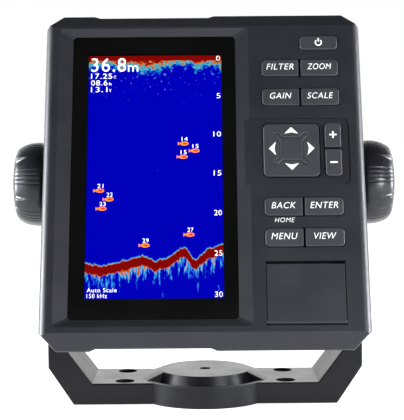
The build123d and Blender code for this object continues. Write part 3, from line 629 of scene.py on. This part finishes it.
direction_pad()
ARROW_TIP, ARROW_BASE, ARROW_HALF, ARROW_SAG = 10.6, 7.3, 3.3, 0.75
arrows = Print()
for quarter in range(4):
    turn = math.radians(90 * quarter)
    sag = [(ARROW_HALF - 2 * ARROW_HALF * i / 8, ARROW_BASE + ARROW_SAG * (1 - (1 - i / 4) ** 2)) for i in range(9)]
    outline = [(0.0, ARROW_TIP)] + [(-x, y) for x, y in sag]
    outline = [(x * math.cos(turn) - y * math.sin(turn), x * math.sin(turn) + y * math.cos(turn)) for x, y in outline]
    middle = (sum(x for x, _ in outline) / len(outline), sum(y for _, y in outline) / len(outline))
    fan = [middle] + outline
    faces = [(0, i, i % len(outline) + 1) for i in range(1, len(fan))]
    arrows.shape([(x * MM, y * MM) for x, y in fan], faces)
arrows.piece("legend_arrows", WHITE_INK, "direction_pad", "key_plastic",
             on_face(PAD_U, PAD_V + MARKS_UP, -PAD_TOP - INK_LIFT))

# ---------------------------------------------------------------- clamp knobs
# Outline of the grip as (distance from the centre plane, radius) in mm.
KNOB_PROFILE = ((76.0, 0.0), (76.0, 12.0), (76.0, 19.2), (76.25, 19.7), (77.2, 20.05), (78.6, 20.15), (80.0, 20.15),
                (81.4, 20.05), (82.8, 19.85), (84.0, 19.55), (85.2, 19.15), (86.3, 18.7), (87.3, 18.2), (88.2, 17.65),
                (88.9, 17.1), (89.4, 16.5), (89.75, 15.8), (90.0, 15.0), (90.4, 13.0), (90.8, 10.8), (91.2, 8.2),
                (91.5, 5.6), (91.7, 3.0), (91.8, 0.0))
KNOB_SEGMENTS = 540
FLUTE_TURN = 17.0
RIB_TURN = -13.0
RIB_STEP = 6.4
FLUTE_DEPTH, RIB_DEPTH, RIB_HALF_TURN = 1.7, 0.42, 1.15


def knob_dent(angle, x, r):
    """Depth in mm of the flutes and rib grooves at an angle in degrees and a place along the knob."""
    from_flute = (angle - FLUTE_TURN + 30) % 60 - 30
    from_rib = (angle - RIB_TURN + 30) % 60 - 30
    reach = min(max((x - 83.0) / 6.5, 0.0), 1.0)
    flute = 0.0
    if reach > 0:
        half_width = 1.2 + 4.6 * reach
        flute = FLUTE_DEPTH * reach * max(0.0, 1 - (from_flute / half_width) ** 2)
    fade = min(max((x - 77.0) / 2.0, 0.0), 1.0) * min(max((r - 13.2) / 2.0, 0.0), 1.0)
    rib = 0.0
    for k in (-1.5, -0.5, 0.5, 1.5):
        rib += RIB_DEPTH * max(0.0, 1 - ((from_rib - k * RIB_STEP) / RIB_HALF_TURN) ** 2)
    flute *= min(max((r - 6.0) / 8.0, 0.0), 1.0)
    return flute + rib * fade


def clamp_knob(side, sign):
    """Domed grip turned about the tilt axis, with pointed flutes and groups of fine grooves."""
    points, faces = [], []
    rings = len(KNOB_PROFILE)
    for x, r in KNOB_PROFILE:
        for k in range(KNOB_SEGMENTS):
            angle = 360 * k / KNOB_SEGMENTS
            radius = r - knob_dent(angle, x, r) if r > 0 else 0.0
            turn = math.radians(angle)
            # An angle of 0 faces the front, and angles grow downwards.
            points.append((sign * x * MM, -radius * MM * math.cos(turn), AXIS_Z - radius * MM * math.sin(turn)))
    for ring in range(rings - 1):
        for k in range(KNOB_SEGMENTS):
            after = (k + 1) % KNOB_SEGMENTS
            quad = (ring * KNOB_SEGMENTS + k, ring * KNOB_SEGMENTS + after,
                    (ring + 1) * KNOB_SEGMENTS + after, (ring + 1) * KNOB_SEGMENTS + k)
            faces.append(quad if sign > 0 else quad[::-1])
    made = mesh_piece("grip_" + side, points, faces, LOOKS["knob_plastic"], "knob_" + side, smooth=True)
    weld = made.modifiers.new("weld", "WELD")
    weld.merge_threshold = 0.00001
    bpy.context.view_layer.update()
    solid = bpy.data.meshes.new_from_object(made.evaluated_get(bpy.context.evaluated_depsgraph_get()))
    made.modifiers.clear()
    made.data = solid
    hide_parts("knob_" + side)


clamp_knob("left", -1)
clamp_knob("right", 1)

# ---------------------------------------------------------------- floor, light and camera
scene = bpy.context.scene
scene.view_settings.view_transform = "Standard"

floor_mesh = bpy.data.meshes.new("floor")
floor_mesh.from_pydata([(-6, -6, 0), (6, -6, 0), (6, 6, 0), (-6, 6, 0)], [], [(0, 1, 2, 3)])
floor = bpy.data.objects.new("floor", floor_mesh)
scene.collection.objects.link(floor)
floor_look, g = material("floor_pale")
tone = g.noise(g.object_coords(), 2.0)
pale = g.ramp(tone, [(0.3, (0.86, 0.86, 0.86)), (0.7, (0.88, 0.88, 0.88))])
split = g.add("ShaderNodeSeparateXYZ")
g.put(split.inputs[0], g.object_coords())
lit = g.mix(g.span(split.outputs["Y"], -0.13, -0.06, 0.0, 1.0, smooth=True), (0.05, 0.05, 0.05, 1.0), pale)
glow = g.span(split.outputs["Y"], 0.5, 2.5, 0.6, 0.95)
g.principled(Base_Color=pale, Roughness=0.9, Specular_IOR_Level=0.1, Emission_Color=lit, Emission_Strength=glow)
floor_mesh.materials.append(floor_look)

world = bpy.data.worlds.new("studio")
world.use_nodes = True
scene.world = world
g = Graph(world.node_tree)
direction = g.add("ShaderNodeTexCoord").outputs["Generated"]
split = g.add("ShaderNodeSeparateXYZ")
g.put(split.inputs[0], direction)
front_sky = g.ramp(split.outputs["Z"], [(0.0, (0.06,) * 3), (0.15, (0.1,) * 3), (0.3, (0.5,) * 3), (0.48, (0.45,) * 3),
                                        (0.58, (0.05,) * 3), (1.0, (0.015,) * 3)])
back_sky = g.ramp(split.outputs["Z"], [(0.0, (1.0,) * 3), (0.1, (1.0,) * 3), (0.16, (2.6,) * 3), (0.45, (2.2,) * 3),
                                       (0.6, (0.3,) * 3), (1.0, (0.02,) * 3)])
behind = g.span(split.outputs["Y"], 0.1, 0.6, 0.0, 1.0, smooth=True)
sky = g.mix(behind, front_sky, back_sky)
background = g.add("ShaderNodeBackground")
g.put(background.inputs["Color"], sky)
background.inputs["Strength"].default_value = 1.0
output = g.add("ShaderNodeOutputWorld")
g.tree.links.new(background.outputs[0], output.inputs[0])


def softbox(name, place, target, size, power):
    """Faintly blue area light aimed at a target."""
    light = bpy.data.lights.new(name, "AREA")
    light.shape = "RECTANGLE"
    light.size, light.size_y = size
    light.energy = power
    light.color = (0.93, 0.94, 1.0)
    made = bpy.data.objects.new(name, light)
    made.location = place
    made.rotation_euler = (Vector(target) - Vector(place)).to_track_quat("-Z", "Y").to_euler()
    scene.collection.objects.link(made)


CENTRE = (0.0, 0.0, 0.1)
softbox("front_left_softbox", (-0.8, -0.45, 0.25), CENTRE, (0.35, 0.3), 4.0)
softbox("front_right_softbox", (0.4, -0.5, 0.15), (0.05, 0.0, 0.08), (0.18, 0.18), 3.0)
softbox("left_strip", (-0.9, 0.0, 0.2), CENTRE, (0.3, 0.5), 22.0)
softbox("right_strip", (0.9, 0.0, 0.2), CENTRE, (0.3, 0.5), 16.0)

CAMERA_PLACE = (-0.001, -0.649, 0.136)
CAMERA_PITCH, CAMERA_ROLL = 3.96, -0.43
camera_data = bpy.data.cameras.new("camera")
camera_data.lens = 115.03
camera_data.sensor_width = 36.0
camera_data.clip_start = 0.01
camera = bpy.data.objects.new("camera", camera_data)
aim = Matrix.Rotation(math.radians(90 - CAMERA_PITCH), 4, "X") @ Matrix.Rotation(math.radians(CAMERA_ROLL), 4, "Z")
camera.matrix_world = Matrix.Translation(CAMERA_PLACE) @ aim
scene.collection.objects.link(camera)
scene.camera = camera
